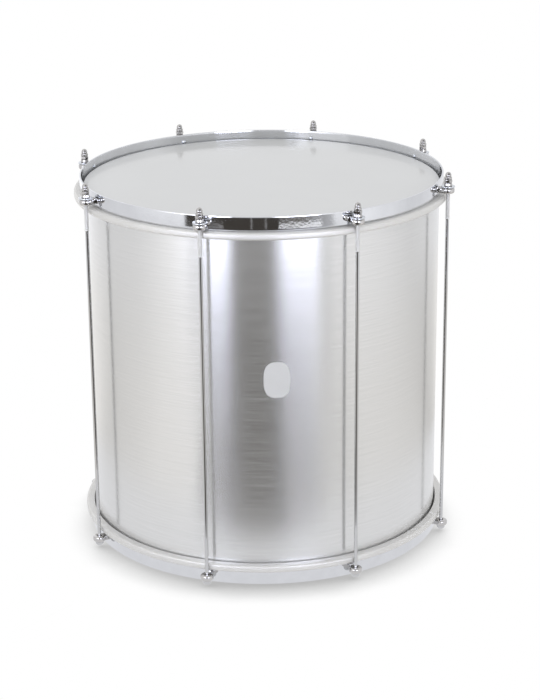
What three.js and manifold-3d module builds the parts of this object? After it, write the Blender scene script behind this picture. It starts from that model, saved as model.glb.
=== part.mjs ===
// Surdo, the bass drum of a samba band: an aluminium shell closed by two film heads,
// which two steel counter hoops pull tight with eight full length tension rods.
// Millimetres, +Z up. The origin is the centre of the bottom rim, and the front faces -Y.
import * as THREE from 'three';
import { mergeVertices } from 'three/addons/utils/BufferGeometryUtils.js';
import Module from 'manifold-3d';

const wasm = await Module();
wasm.setup();

// Shell, a rolled sheet with both edges turned inwards to carry the heads
const shellDiameter = 508;
const shellHeight = 500;
const shellWall = 1.5;
const bearingEdgeRadius = 3;
const bearingLipWidth = 8;

// Fits between pieces
const seatGap = 0.3;
const boreClearance = 0.4;
const cutOverrun = 1;

// Head film and the flesh hoop that its rim is crimped into
const filmThickness = 0.5;
const filmToRim = 13.2;
const filmGripDepth = 4.5;
const fleshLipGap = 1.2;
const fleshLipWall = 0.8;
const fleshHoopUndercut = 1.5;
const fleshHoopLedge = 8.4;
const fleshHoopHeight = 10;
const fleshHoopRound = 3.2;

// Counter hoop, a flat steel bar rolled on edge
const counterHoopHeight = 20;
const counterHoopThickness = 2.5;
const counterHoopRound = 0.7;

// Lugs, short eyes riveted to the counter hoops
const stationCount = 8;
const firstStationTurn = Math.PI / stationCount;
const rodSideGap = 1;
const lugEyeDiameter = 18.4;
const lugHeight = 8.4;
const lugNeckWidth = 10;
const lugRound = 1.8;
const lugRimDrop = 7.9;
const rivetRimDrop = 11;
const rivetShankDiameter = 4.2;
const rivetHeadDiameter = 6.4;
const rivetHeadHeight = 1.8;
const rivetGrip = 4.6;

// Tension rods, each with a rolled thread at its top that is wider than the shank
const rodShankDiameter = 5;
const rodThreadDiameter = 6;
const rodThreadRunout = 1;
const topThreadRimDrop = 53;
const rodTopAboveRim = 9;
const rodTipChamfer = 0.8;
const rodHeadDiameter = 12;
const rodHeadRim = 2.2;
const rodHeadFloorGap = 1;

// Washers and tuning nuts
const washerDiameter = 19.2;
const washerThickness = 1.6;
const washerChamfer = 0.4;
const nutSkirtDiameter = 11.4;
const nutSkirtTopDiameter = 10.6;
const nutSkirtHeight = 3.9;
const nutAcrossFlats = 10;
const nutHexHeight = 4;
const nutCollarDiameter = 10.4;
const nutCollarHeight = 3.2;
const nutCollarRound = 0.5;
const nutGrooveHeight = 0.8;
const nutGrooveWall = 0.9;
const nutNeckWall = 0.5;
const nutDomeWall = 0.9;
const nutCrownWall = 4;
const nutTipClearance = 1;

// Facets of round forms, with one corner of every hoop at each station
const hoopSides = 6 * stationCount;
const bendSteps = 2;
const lugArcSides = 4;
const boreSides = 12;
const rodSides = 8;
const rodDomeSteps = 2;
const nutSides = 12;
const nutDomeSteps = 2;
const washerSides = 12;
const rivetSides = 6;

// Places worked out from the sizes above
const shellRadius = shellDiameter / 2;
const rimToShell = filmToRim + filmThickness + seatGap;
const drumHeight = shellHeight + 2 * rimToShell;
const fleshLipInner = shellRadius + fleshLipGap;
const filmGrooveInner = fleshLipInner + fleshLipWall;
const filmGrooveOuter = filmGrooveInner + filmThickness + 2 * seatGap;
const counterHoopInner = filmGrooveOuter;
const counterHoopOuter = counterHoopInner + counterHoopThickness;
const fleshHoopOuter = counterHoopOuter + fleshHoopLedge;
const fleshHoopRimDrop = counterHoopHeight + seatGap;
const rodCircleRadius = fleshHoopOuter + rodSideGap + rodThreadDiameter / 2;
const rodStandoff = rodCircleRadius - counterHoopOuter;
const lugMiddleDrop = lugRimDrop + lugHeight / 2;
const washerRimDrop = lugRimDrop - seatGap - washerThickness;
const nutRimDrop = washerRimDrop - seatGap;
const boreRadius = rodThreadDiameter / 2 + boreClearance;

// Finishes
const finishes = {
  brushedAluminium: { color: 0xc9cac8, roughness: 0.35, metalness: 1 },
  polishedAluminium: { color: 0xdcdddd, roughness: 0.22, metalness: 1 },
  chromedSteel: { color: 0xd8dade, roughness: 0.08, metalness: 1 },
  zincSteel: { color: 0xc4c6c8, roughness: 0.3, metalness: 1 },
  milkyFilm: { color: 0xdcdddb, roughness: 0.3, metalness: 0 },
};

// Names a geometry as one piece of the drum, in its own finish.
function piece(name, geometry, finish) {
  const mesh = new THREE.Mesh(geometry, new THREE.MeshStandardMaterial(finish));
  mesh.name = name;
  return mesh;
}

// Turns [radius, height] points about the Z axis. A point above the middle of the front is a corner.
function turned(profile, sides) {
  const points = profile.map(([radius, height]) => new THREE.Vector2(radius, height));
  return new THREE.LatheGeometry(points, sides).rotateX(Math.PI / 2);
}

// Turns a section that stands clear of the axis, and closes it on its first point.
function turnedRing(section, sides) {
  return turned([...section, section[0]], sides);
}

// Gives the points of a quarter round from one angle to the next, both ends included.
function arcPoints(centre, radius, startAngle, endAngle, steps) {
  return Array.from({ length: steps + 1 }, (_, index) => {
    const angle = startAngle + ((endAngle - startAngle) * index) / steps;
    return [centre[0] + radius * Math.cos(angle), centre[1] + radius * Math.sin(angle)];
  });
}

// Makes a solid for joining and cutting from a closed geometry.
function solid(geometry) {
  const bare = geometry.clone();
  bare.deleteAttribute('normal');
  bare.deleteAttribute('uv');
  const merged = mergeVertices(bare);
  return new wasm.Manifold(new wasm.Mesh({
    numProp: 3,
    vertProperties: new Float32Array(merged.attributes.position.array),
    triVerts: new Uint32Array(merged.index.array),
  }));
}

// Turns a solid back into a geometry.
function geometryOf(cutSolid) {
  const mesh = cutSolid.getMesh();
  const geometry = new THREE.BufferGeometry();
  geometry.setAttribute('position', new THREE.BufferAttribute(mesh.vertProperties.slice(), mesh.numProp));
  geometry.setIndex(new THREE.BufferAttribute(mesh.triVerts.slice(), 1));
  geometry.computeVertexNormals();
  return geometry;
}

// A round bar along the radial line of a station, from one distance from the drum's axis to another.
function radialBar(diameter, innerReach, outerReach, rimDrop, sides) {
  const length = outerReach - innerReach;
  return new THREE.CylinderGeometry(diameter / 2, diameter / 2, length, sides)
    .translate(0, -(innerReach + length / 2), -rimDrop);
}

// Shell: a plain cylinder whose two edges turn in over a small radius to a flat lip.
function shellGeometry() {
  const innerBend = bearingEdgeRadius - shellWall;
  const bendCentre = shellRadius - bearingEdgeRadius;
  const lipEnd = shellRadius - bearingLipWidth;
  const top = rimToShell + shellHeight;
  const edge = (level, outwards) => {
    const centre = [bendCentre, level - outwards * bearingEdgeRadius];
    const outer = arcPoints(centre, bearingEdgeRadius, 0, (outwards * Math.PI) / 2, bendSteps);
    const inner = arcPoints(centre, innerBend, (outwards * Math.PI) / 2, 0, 1);
    return [...outer, [lipEnd, level], [lipEnd, level - outwards * shellWall], ...inner];
  };
  return turnedRing([...edge(top, 1), ...edge(rimToShell, -1).reverse()], hoopSides);
}

// Counter hoop, with its rim at zero height and a hole for the rivet of each lug.
function counterHoopGeometry() {
  const round = counterHoopRound;
  const section = [
    [counterHoopOuter, round - counterHoopHeight],
    [counterHoopOuter, -round],
    [counterHoopOuter - round, 0],
    [counterHoopInner + round, 0],
    [counterHoopInner, -round],
    [counterHoopInner, -counterHoopHeight],
    [counterHoopOuter - round, -counterHoopHeight],
  ];
  const holeDiameter = rivetShankDiameter + 2 * boreClearance;
  let hoop = solid(turnedRing(section, hoopSides));
  for (let station = 0; station < stationCount; station += 1) {
    const drill = radialBar(holeDiameter, counterHoopInner - cutOverrun,
      counterHoopOuter + cutOverrun, rivetRimDrop, rivetSides);
    hoop = hoop.subtract(solid(drill.rotateZ(stationTurn(station))));
  }
  return geometryOf(hoop);
}

// Flesh hoop: a rounded ring under the counter hoop, which stands right outside the groove for the
// rim of the film. The inner face leans away from the shell below the groove.
function fleshHoopGeometry() {
  const top = -fleshHoopRimDrop;
  const bottom = top - fleshHoopHeight;
  const round = fleshHoopRound;
  const quarter = Math.PI / 2;
  const grooveFloor = top - filmGripDepth - seatGap;
  const section = [
    ...arcPoints([fleshHoopOuter - round, bottom + round], round, -quarter, 0, 1),
    ...arcPoints([fleshHoopOuter - round, top - round], round, 0, quarter, 1),
    [filmGrooveOuter, top],
    [filmGrooveOuter, grooveFloor],
    [filmGrooveInner, grooveFloor],
    [filmGrooveInner, top],
    [fleshLipInner, top],
    [fleshLipInner, grooveFloor],
    [fleshLipInner + fleshHoopUndercut, bottom],
  ];
  return turnedRing(section, hoopSides);
}

// Film head: flat over the bearing edge, then a collar that slopes down into the flesh hoop.
function filmGeometry() {
  const underside = -filmToRim - filmThickness;
  const gripInner = filmGrooveInner + seatGap;
  const gripOuter = gripInner + filmThickness;
  const gripTop = -fleshHoopRimDrop;
  const gripEnd = gripTop - filmGripDepth;
  const foldRadius = shellRadius + seatGap;
  const foldDrop = bearingEdgeRadius;
  const flatRadius = foldRadius - foldDrop / 2;
  const profile = [
    [0, underside],
    [flatRadius, underside],
    [foldRadius, underside - foldDrop / 2],
    [gripInner, gripTop],
    [gripInner, gripEnd],
    [gripOuter, gripEnd],
    [gripOuter, gripTop],
    [foldRadius + filmThickness, underside - foldDrop / 2 + filmThickness / 2],
    [flatRadius + filmThickness / 2, -filmToRim],
    [0, -filmToRim],
  ];
  return turned(profile, hoopSides);
}

// Lug, with the rim of its hoop at zero height: an eye for the rod on a neck, saddled on the hoop.
function lugSolid() {
  const eyeRadius = lugEyeDiameter / 2;
  const neckHalf = lugNeckWidth / 2;
  const neckEnd = rodStandoff + lugRound + cutOverrun;
  const meetAngle = Math.acos(neckHalf / eyeRadius);
  const outline = new THREE.Shape();
  outline.moveTo(neckHalf, neckEnd);
  outline.lineTo(-neckHalf, neckEnd);
  outline.absarc(0, 0, eyeRadius, Math.PI - meetAngle, 2 * Math.PI + meetAngle, false);
  const plate = new THREE.ExtrudeGeometry(outline, {
    depth: lugHeight - 2 * lugRound,
    bevelThickness: lugRound,
    bevelSize: lugRound,
    bevelOffset: -lugRound,
    bevelSegments: 1,
    curveSegments: lugArcSides,
  }).translate(0, -rodCircleRadius, -lugMiddleDrop - lugHeight / 2 + lugRound);
  const rodBore = new THREE.CylinderGeometry(boreRadius, boreRadius, lugHeight + 2 * cutOverrun, boreSides)
    .rotateX(Math.PI / 2)
    .translate(0, -rodCircleRadius, -lugMiddleDrop);
  const saddle = new THREE.CylinderGeometry(counterHoopOuter + seatGap, counterHoopOuter + seatGap,
    lugHeight + 2 * cutOverrun, hoopSides)
    .rotateX(Math.PI / 2)
    .translate(0, 0, -lugMiddleDrop);
  return solid(plate).subtract(solid(rodBore)).subtract(solid(saddle));
}

// Rivet, from its rounded head inside the hoop to the end of its shank in the neck of the lug.
function rivetSolid() {
  const headRadius = rivetHeadDiameter / 2;
  const headFace = counterHoopInner - headRadius * Math.tan(Math.PI / hoopSides) - seatGap;
  const crownRadius = rivetShankDiameter / 2;
  const shank = radialBar(rivetShankDiameter, headFace - seatGap,
    counterHoopOuter + rivetGrip, rivetRimDrop, rivetSides);
  const head = new THREE.CylinderGeometry(headRadius, crownRadius, rivetHeadHeight, rivetSides)
    .rotateX(Math.PI)
    .translate(0, -(headFace - rivetHeadHeight / 2), -rivetRimDrop);
  return solid(shank).add(solid(head));
}

// The blind hole in the neck of a lug that holds the shank of a separate rivet.
function rivetSocketSolid() {
  const socketDiameter = rivetShankDiameter + 2 * boreClearance;
  return solid(radialBar(socketDiameter, counterHoopOuter - cutOverrun,
    counterHoopOuter + rivetGrip + seatGap, rivetRimDrop, rivetSides));
}

// Tension rod from its domed head below the bottom lug to its tip inside the tuning nut.
function rodGeometry() {
  const shank = rodShankDiameter / 2;
  const thread = rodThreadDiameter / 2;
  const headRadius = rodHeadDiameter / 2;
  const headTop = lugRimDrop - seatGap;
  const domeTop = headTop - rodHeadRim;
  const domeHeight = domeTop - rodHeadFloorGap;
  const dome = Array.from({ length: rodDomeSteps + 1 }, (_, step) => {
    const turn = (step * Math.PI) / 2 / rodDomeSteps;
    return [headRadius * Math.sin(turn), domeTop - domeHeight * Math.cos(turn)];
  });
  const tip = drumHeight + rodTopAboveRim;
  const profile = [
    ...dome,
    [headRadius, headTop],
    [shank, headTop],
    [shank, drumHeight - topThreadRimDrop - rodThreadRunout],
    [thread, drumHeight - topThreadRimDrop],
    [thread, tip - rodTipChamfer],
    [thread - rodTipChamfer, tip],
    [0, tip],
  ];
  return turned(profile, rodSides);
}

// Washer between a top lug and its tuning nut, lying on the XY plane.
function washerGeometry() {
  const outer = washerDiameter / 2;
  const section = [
    [outer, 0],
    [outer, washerThickness - washerChamfer],
    [outer - washerChamfer, washerThickness],
    [boreRadius, washerThickness],
    [boreRadius, 0],
  ];
  return turnedRing(section, washerSides);
}

// Lofts rings of equal side count, each [radius at its corners, radius at its flats, height],
// from a flat first ring up to a point on the axis at the last height.
function loftedRings(rings, tipHeight, sides) {
  const positions = rings.flatMap(([cornerRadius, flatRadius, height]) => (
    Array.from({ length: sides }, (_, side) => {
      const radius = side % 2 === 0 ? cornerRadius : flatRadius;
      const angle = (side * 2 * Math.PI) / sides;
      return [radius * Math.cos(angle), radius * Math.sin(angle), height];
    }).flat()
  ));
  const firstPole = rings.length * sides;
  const lastRing = firstPole - sides;
  positions.push(0, 0, rings[0][2], 0, 0, tipHeight);
  const indices = [];
  for (let side = 0; side < sides; side += 1) {
    const next = (side + 1) % sides;
    for (let ring = 0; ring < lastRing; ring += sides) {
      indices.push(ring + side, ring + next, ring + next + sides);
      indices.push(ring + side, ring + next + sides, ring + side + sides);
    }
    indices.push(firstPole, next, side, firstPole + 1, lastRing + side, lastRing + next);
  }
  const geometry = new THREE.BufferGeometry();
  geometry.setAttribute('position', new THREE.Float32BufferAttribute(positions, 3));
  geometry.setIndex(indices);
  geometry.computeVertexNormals();
  return geometry;
}

// Tuning nut, standing on the XY plane: skirt, hexagon, collar and dome, parted by grooves,
// over a blind bore for the rod.
function nutGeometry() {
  const round = (radius, height) => [radius, radius, height];
  const hex = (height) => [nutAcrossFlats / Math.sqrt(3), nutAcrossFlats / 2, height];
  const hexBottom = nutSkirtHeight + nutGrooveHeight;
  const hexTop = hexBottom + nutHexHeight;
  const collarBottom = hexTop + nutGrooveHeight;
  const collarTop = collarBottom + nutCollarHeight;
  const domeBottom = collarTop + nutGrooveHeight;
  const boreDepth = nutRimDrop + rodTopAboveRim + nutTipClearance;
  const domeRadius = boreRadius + nutDomeWall;
  const domeTop = boreDepth + nutCrownWall;
  const grooveAbove = (height, wall) => round(boreRadius + wall, height + nutGrooveHeight / 2);
  const dome = Array.from({ length: nutDomeSteps }, (_, step) => {
    const turn = (step * Math.PI) / 2 / nutDomeSteps;
    return round(domeRadius * Math.cos(turn), domeTop - domeRadius * (1 - Math.sin(turn)));
  });
  const rings = [
    round(boreRadius, boreDepth),
    round(boreRadius, 0),
    round(nutSkirtDiameter / 2, 0),
    round(nutSkirtTopDiameter / 2, nutSkirtHeight),
    grooveAbove(nutSkirtHeight, nutGrooveWall),
    hex(hexBottom),
    hex(hexTop),
    grooveAbove(hexTop, nutGrooveWall),
    round(nutCollarDiameter / 2, collarBottom),
    round(nutCollarDiameter / 2, collarTop - nutCollarRound),
    grooveAbove(collarTop, nutNeckWall),
    round(domeRadius, domeBottom),
    ...dome,
  ];
  return loftedRings(rings, domeTop, nutSides);
}

// Turn of a station about the drum's axis, counted from the middle of the front.
function stationTurn(station) {
  return firstStationTurn + (station * 2 * Math.PI) / stationCount;
}

// One end of the drum: film, flesh hoop and counter hoop, with the rim at zero height.
function drumEnd(endName) {
  const end = new THREE.Group();
  end.add(piece(`${endName}_head_film`, filmGeometry(), finishes.milkyFilm));
  end.add(piece(`${endName}_flesh_hoop`, fleshHoopGeometry(), finishes.polishedAluminium));
  end.add(piece(`${endName}_counter_hoop`, counterHoopGeometry(), finishes.chromedSteel));
  return end;
}

// One tuning station: the rod, both lugs, the rivet of the top lug, the washer and the nut.
function tuningStation(station, shapes) {
  const number = station + 1;
  const group = new THREE.Group();
  const rod = piece(`tension_rod_${number}`, shapes.rod, finishes.chromedSteel);
  rod.position.y = -rodCircleRadius;
  const washer = piece(`nut_washer_${number}`, shapes.washer, finishes.zincSteel);
  washer.position.set(0, -rodCircleRadius, drumHeight - washerRimDrop - washerThickness);
  const nut = piece(`tuning_nut_${number}`, shapes.nut, finishes.chromedSteel);
  nut.position.set(0, -rodCircleRadius, drumHeight - nutRimDrop);
  const topLug = piece(`top_lug_${number}`, shapes.topLug, finishes.chromedSteel);
  topLug.position.z = drumHeight;
  const rivet = piece(`top_lug_rivet_${number}`, shapes.rivet, finishes.zincSteel);
  rivet.position.z = drumHeight;
  const bottomLug = piece(`bottom_lug_${number}`, shapes.bottomLug, finishes.chromedSteel);
  bottomLug.rotation.y = Math.PI;
  group.add(rod, washer, nut, topLug, rivet, bottomLug);
  group.rotation.z = stationTurn(station);
  return group;
}

const surdo = new THREE.Group();
surdo.add(piece('shell', shellGeometry(), finishes.brushedAluminium));

const topEnd = drumEnd('top');
topEnd.position.z = drumHeight;
const bottomEnd = drumEnd('bottom');
bottomEnd.rotation.x = Math.PI;
surdo.add(topEnd, bottomEnd);

const stationShapes = {
  rod: rodGeometry(),
  washer: washerGeometry(),
  nut: nutGeometry(),
  topLug: geometryOf(lugSolid().subtract(rivetSocketSolid())),
  rivet: geometryOf(rivetSolid()),
  bottomLug: geometryOf(lugSolid().add(rivetSolid())),
};
for (let station = 0; station < stationCount; station += 1) {
  surdo.add(tuningStation(station, stationShapes));
}

export default surdo;
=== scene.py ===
"""Looks of a surdo, the bass drum of a samba band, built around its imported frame.

Every length is in metres, in the frame's own axes: the origin is the centre of the bottom rim, +Z
is up and the front faces -Y. A turn is an angle about +Z, counted from the front towards +X.
"""

import logging
import math
from dataclasses import dataclass, field
from enum import Enum
from typing import Any

import bpy
import numpy as np
from mathutils import Matrix, Vector

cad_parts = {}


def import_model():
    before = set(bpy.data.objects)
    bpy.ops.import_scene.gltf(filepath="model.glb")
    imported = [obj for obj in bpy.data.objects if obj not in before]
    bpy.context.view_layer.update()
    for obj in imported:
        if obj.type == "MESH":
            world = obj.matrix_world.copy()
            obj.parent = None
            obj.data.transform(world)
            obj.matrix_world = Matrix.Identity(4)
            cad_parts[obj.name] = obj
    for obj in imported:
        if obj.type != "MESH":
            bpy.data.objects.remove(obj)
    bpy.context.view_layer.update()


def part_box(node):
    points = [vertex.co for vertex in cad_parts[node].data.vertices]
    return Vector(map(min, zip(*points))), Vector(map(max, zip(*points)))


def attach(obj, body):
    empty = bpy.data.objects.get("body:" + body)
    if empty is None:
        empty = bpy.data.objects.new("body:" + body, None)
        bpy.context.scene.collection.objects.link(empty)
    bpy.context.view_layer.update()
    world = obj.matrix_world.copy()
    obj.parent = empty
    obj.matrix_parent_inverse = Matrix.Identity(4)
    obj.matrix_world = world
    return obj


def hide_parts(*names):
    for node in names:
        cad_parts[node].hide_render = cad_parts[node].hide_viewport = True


LOG = logging.getLogger("surdo")
MM = 0.001
FULL_TURN = 2 * math.pi
STATION_COUNT = 8
FIRST_STATION_TURN = math.pi / STATION_COUNT
STATIC_BODY = "drum"
SHARP_ANGLE = math.radians(38)
TINY = 1e-6

# Sizes that more than one sub-assembly shares
SHELL_RADIUS = 254 * MM
HOOP_OUTER = 259.6 * MM
SEAT_GAP = 0.3 * MM
THREAD_START = 475 * MM
BORE_RADIUS = 3.4 * MM

# The curve from a display colour to a linear one
FULL_CHANNEL = 255
CURVE_KNEE, CURVE_SLOPE = 0.04045, 12.92
CURVE_OFFSET, CURVE_POWER = 0.055, 2.4

# Where most of a noise's values lie
NOISE_MIDDLE = (0.3, 0.7)

# How far rolled sheet's waves lean in a metre of height, and the smallest share of a wave's size
RIPPLE_LEAN = 3.0
RIPPLE_LEAST = 0.4

Span = tuple[float, float]
Colour = tuple[float, float, float, float]
WHITE: Colour = (1.0, 1.0, 1.0, 1.0)
COOL_WHITE: Colour = (0.985, 0.99, 1.02, 1.0)
WARM_WHITE: Colour = (1.02, 1.0, 0.98, 1.0)


class End(Enum):
    """The two ends of the drum, which are alike and face away from each other."""

    TOP = "top"
    BOTTOM = "bottom"


class Slot(Enum):
    """The record's material slots."""

    SHELL = "shell_aluminium"
    FLESH_HOOP = "flesh_hoop_aluminium"
    HOOP = "hoop_chrome"
    LUG = "lug_chrome"
    ROD = "rod_chrome"
    NUT = "nut_chrome"
    WASHER = "washer_zinc"
    RIVET = "rivet_zinc"
    FILM = "head_film"


def linear(red: int, green: int, blue: int) -> Colour:
    """Turns a display colour into the linear colour that a shader takes.

    Args:
        red: The red channel, 0 to 255.
        green: The green channel, 0 to 255.
        blue: The blue channel, 0 to 255.

    Returns:
        Linear red, green and blue, with full alpha.
    """
    share = np.array([red, green, blue]) / FULL_CHANNEL
    curved = ((share + CURVE_OFFSET) / (1 + CURVE_OFFSET)) ** CURVE_POWER
    value = np.where(share <= CURVE_KNEE, share / CURVE_SLOPE, curved)
    return (*(float(v) for v in value), 1.0)


def smooth_step(low: float, high: float, value: np.ndarray) -> np.ndarray:
    """Rises from 0 at low to 1 at high along 3t^2 - 2t^3, flat outside.

    Args:
        low: Where the rise starts.
        high: Where the rise ends.
        value: Where it is asked for.

    Returns:
        The height of the step at each value.
    """
    t = np.clip((value - low) / (high - low), 0, 1)
    return t * t * (3 - 2 * t)


def filleted(corners: Any, radii: Any, steps: int, closed: bool = True) -> np.ndarray:
    """Rounds the corners of an outline, each with an arc that touches both its sides.

    The arc's centre lies on the corner's bisector at radius / sin(half the corner's angle), and the
    arc's points are the spherical mean of its two end directions.

    Args:
        corners: The outline's corners, as rows of two coordinates.
        radii: The radius at each corner, or one for all.
        steps: Stretches in each arc.
        closed: Whether the last corner joins the first. An open outline keeps its two ends.

    Returns:
        The rounded outline's points.
    """
    corner = np.asarray(corners, float)
    radius = np.broadcast_to(np.asarray(radii, float), len(corner))
    back = np.roll(corner, 1, axis=0) - corner
    ahead = np.roll(corner, -1, axis=0) - corner
    inner = slice(None) if closed else slice(1, -1)
    back, ahead, middle, radius = back[inner], ahead[inner], corner[inner], radius[inner]
    back = back / np.linalg.norm(back, axis=1, keepdims=True)
    ahead = ahead / np.linalg.norm(ahead, axis=1, keepdims=True)
    half = np.arccos(np.clip((back * ahead).sum(1), -1, 1)) / 2
    bisector = back + ahead
    bisector = bisector / np.linalg.norm(bisector, axis=1, keepdims=True)
    centre = middle + bisector * (radius / np.sin(half))[:, None]
    reach = (radius / np.tan(half))[:, None]
    start, end = middle + back * reach - centre, middle + ahead * reach - centre
    sweep = (math.pi - 2 * half)[:, None, None]
    t = np.linspace(0, 1, steps + 1)[None, :, None]
    share_start = np.sin((1 - t) * sweep) / np.sin(sweep)
    share_end = np.sin(t * sweep) / np.sin(sweep)
    arcs = centre[:, None] + start[:, None] * share_start + end[:, None] * share_end
    rounded = arcs.reshape(-1, 2)
    return rounded if closed else np.vstack([corner[:1], rounded, corner[-1:]])


def divided(outline: np.ndarray, longest: float, closed: bool = True) -> np.ndarray:
    """Adds points along an outline, so that no stretch of it is longer than asked.

    The new points stand at even distances along the outline, beside the points that it has. One
    that would stand closer to those than a third of the longest stretch is left out.

    Args:
        outline: The outline's points.
        longest: The longest stretch that may stay.
        closed: Whether the last point joins the first.

    Returns:
        The outline with its own points and the new ones, in order.
    """
    ring = np.vstack([outline, outline[:1]]) if closed else outline
    along = np.concatenate([[0], np.cumsum(np.linalg.norm(np.diff(ring, axis=0), axis=1))])
    count = max(2, int(math.ceil(along[-1] / longest)) + 1)
    even = np.linspace(0, along[-1], count)
    gap = np.abs(even[:, None] - along[None, :]).min(axis=1)
    closest = longest / 3
    places = np.sort(np.concatenate([along, even[gap > closest]]))
    points = np.stack([np.interp(places, along, ring[:, axis]) for axis in (0, 1)], axis=1)
    return points[:-1] if closed else points


@dataclass
class Skin:
    """A closed surface on a grid: rows along a section, columns around it.

    Attributes:
        points: The grid, as rows, columns and three coordinates. The columns close on themselves.
        ring: Whether the last row joins the first. If not, a point at each end closes the surface.
        first_pole: The point that closes the first row, where ring is false.
        last_pole: The point that closes the last row, where ring is false.
    """

    points: np.ndarray
    ring: bool = True
    first_pole: np.ndarray | None = None
    last_pole: np.ndarray | None = None

    def faces(self) -> tuple[np.ndarray, np.ndarray]:
        """Lists the faces as grid places, so that a seam still knows on which side it lies.

        Returns:
            The quads and the pole triangles, each corner as a row and a column that may run one
            past the last. Row -1 is the first pole and the row after the last is the last pole.
        """
        rows, columns = self.points.shape[:2]
        row, column = np.meshgrid(
            np.arange(rows if self.ring else rows - 1), np.arange(columns), indexing="ij"
        )
        corners = [(row, column), (row, column + 1), (row + 1, column + 1), (row + 1, column)]
        quads = np.stack([np.stack(c, axis=-1) for c in corners], axis=-2).reshape(-1, 4, 2)
        if self.ring:
            return quads, np.zeros((0, 3, 2), int)
        around = np.arange(columns)
        first, last = np.zeros_like(around), np.full_like(around, rows - 1)
        start = [(first - 1, around), (first, around + 1), (first, around)]
        stop = [(last + 1, around), (last, around), (last, around + 1)]
        fans = [np.stack([np.stack(c, axis=-1) for c in fan], axis=-2) for fan in (start, stop)]
        return quads, np.concatenate(fans)

    def placed(self, turn: float = 0.0, flip: bool = False, lift: float = 0.0) -> "Skin":
        """Moves the surface to its place on the drum.

        Args:
            turn: The turn about the drum's axis, made last.
            flip: Whether the surface is first turned over about the line to the front.
            lift: The height it is raised by, before the turn.

        Returns:
            The moved surface.
        """
        over = np.diag([-1.0, 1.0, -1.0]) if flip else np.eye(3)
        cosine, sine = math.cos(turn), math.sin(turn)
        about = np.array([[cosine, -sine, 0], [sine, cosine, 0], [0, 0, 1]])

        def moved(points: np.ndarray | None) -> np.ndarray | None:
            """Applies the move to points, if there are any."""
            return None if points is None else (points @ over.T + [0, 0, lift]) @ about.T

        return Skin(moved(self.points), self.ring, moved(self.first_pole), moved(self.last_pole))

    def mesh(self, name: str) -> bpy.types.Mesh:
        """Makes the mesh, with its faces pointing out and a UV map of its grid.

        U runs along the section, in metres, and V once around the columns.

        Args:
            name: The mesh's name.

        Returns:
            The new mesh, smooth but for edges sharper than the usual angle.
        """
        rows, columns = self.points.shape[:2]
        places = self.points.reshape(-1, 3)
        if not self.ring:
            places = np.vstack([places, self.first_pole, self.last_pole])
        quads, fans = self.faces()

        def index(corner: np.ndarray) -> np.ndarray:
            """Gives the point at a grid place: the poles stand after the grid's own points."""
            row, column = corner[..., 0], corner[..., 1] % columns
            inside = (row % rows) * columns + column
            if self.ring:
                return inside
            pole = rows * columns
            return np.where(row < 0, pole, np.where(row >= rows, pole + 1, inside))

        quad_index, fan_index = index(quads), index(fans)
        first, second, third, fourth = (places[quad_index[:, i]] for i in range(4))
        volume = np.einsum("ij,ij->", first, np.cross(second, third))
        volume += np.einsum("ij,ij->", first, np.cross(third, fourth))
        if len(fan_index):
            first, second, third = (places[fan_index[:, i]] for i in range(3))
            volume += np.einsum("ij,ij->", first, np.cross(second, third))
        step = 1 if volume > 0 else -1
        quads, fans = quads[:, ::step], fans[:, ::step]
        mesh = bpy.data.meshes.new(name)
        mesh.from_pydata(places.tolist(), [], index(quads).tolist() + index(fans).tolist())
        line = self.points[:, 0]
        stretch = np.linalg.norm(np.diff(line, axis=0, append=line[:1]), axis=1)
        along = np.concatenate([[0], np.cumsum(stretch)])
        corners = np.concatenate([quads.reshape(-1, 2), fans.reshape(-1, 2)])
        uv = np.stack([along[np.clip(corners[:, 0], 0, rows)], corners[:, 1] / columns], axis=1)
        mesh.uv_layers.new(name="grid").data.foreach_set("uv", uv.astype(np.float32).ravel())
        mesh.polygons.foreach_set("use_smooth", np.ones(len(mesh.polygons), bool))
        mesh.set_sharp_from_angle(angle=SHARP_ANGLE)
        mesh.update()
        return mesh


def turned(section: np.ndarray, sides: int, closed: bool = True, wave: Any = None) -> Skin:
    """Turns a section about the Z axis: a point at radius r and turn a is (r sin a, -r cos a, z).

    Args:
        section: Rows of radius and height. An open section starts and ends on the axis.
        sides: Columns around the axis.
        closed: Whether the section is a closed outline that stands clear of the axis.
        wave: A function of turn and height that gives what is added to the radius.

    Returns:
        The turned surface.
    """
    rim = section if closed else section[1:-1]
    angle = np.arange(sides) * FULL_TURN / sides
    radius = np.repeat(rim[:, :1], sides, axis=1)
    height = np.repeat(rim[:, 1:], sides, axis=1)
    if wave is not None:
        radius = radius + wave(angle[None, :], height)
    points = np.stack([radius * np.sin(angle), -radius * np.cos(angle), height], axis=-1)
    if closed:
        return Skin(points)
    poles = [np.array([0, 0, section[end, 1]]) for end in (0, -1)]
    return Skin(points, False, *poles)


def shown(name: str, data: bpy.types.ID) -> bpy.types.Object:
    """Makes an object of its data, and links it into the scene."""
    made = bpy.data.objects.new(name, data)
    bpy.context.scene.collection.objects.link(made)
    return made


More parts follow.
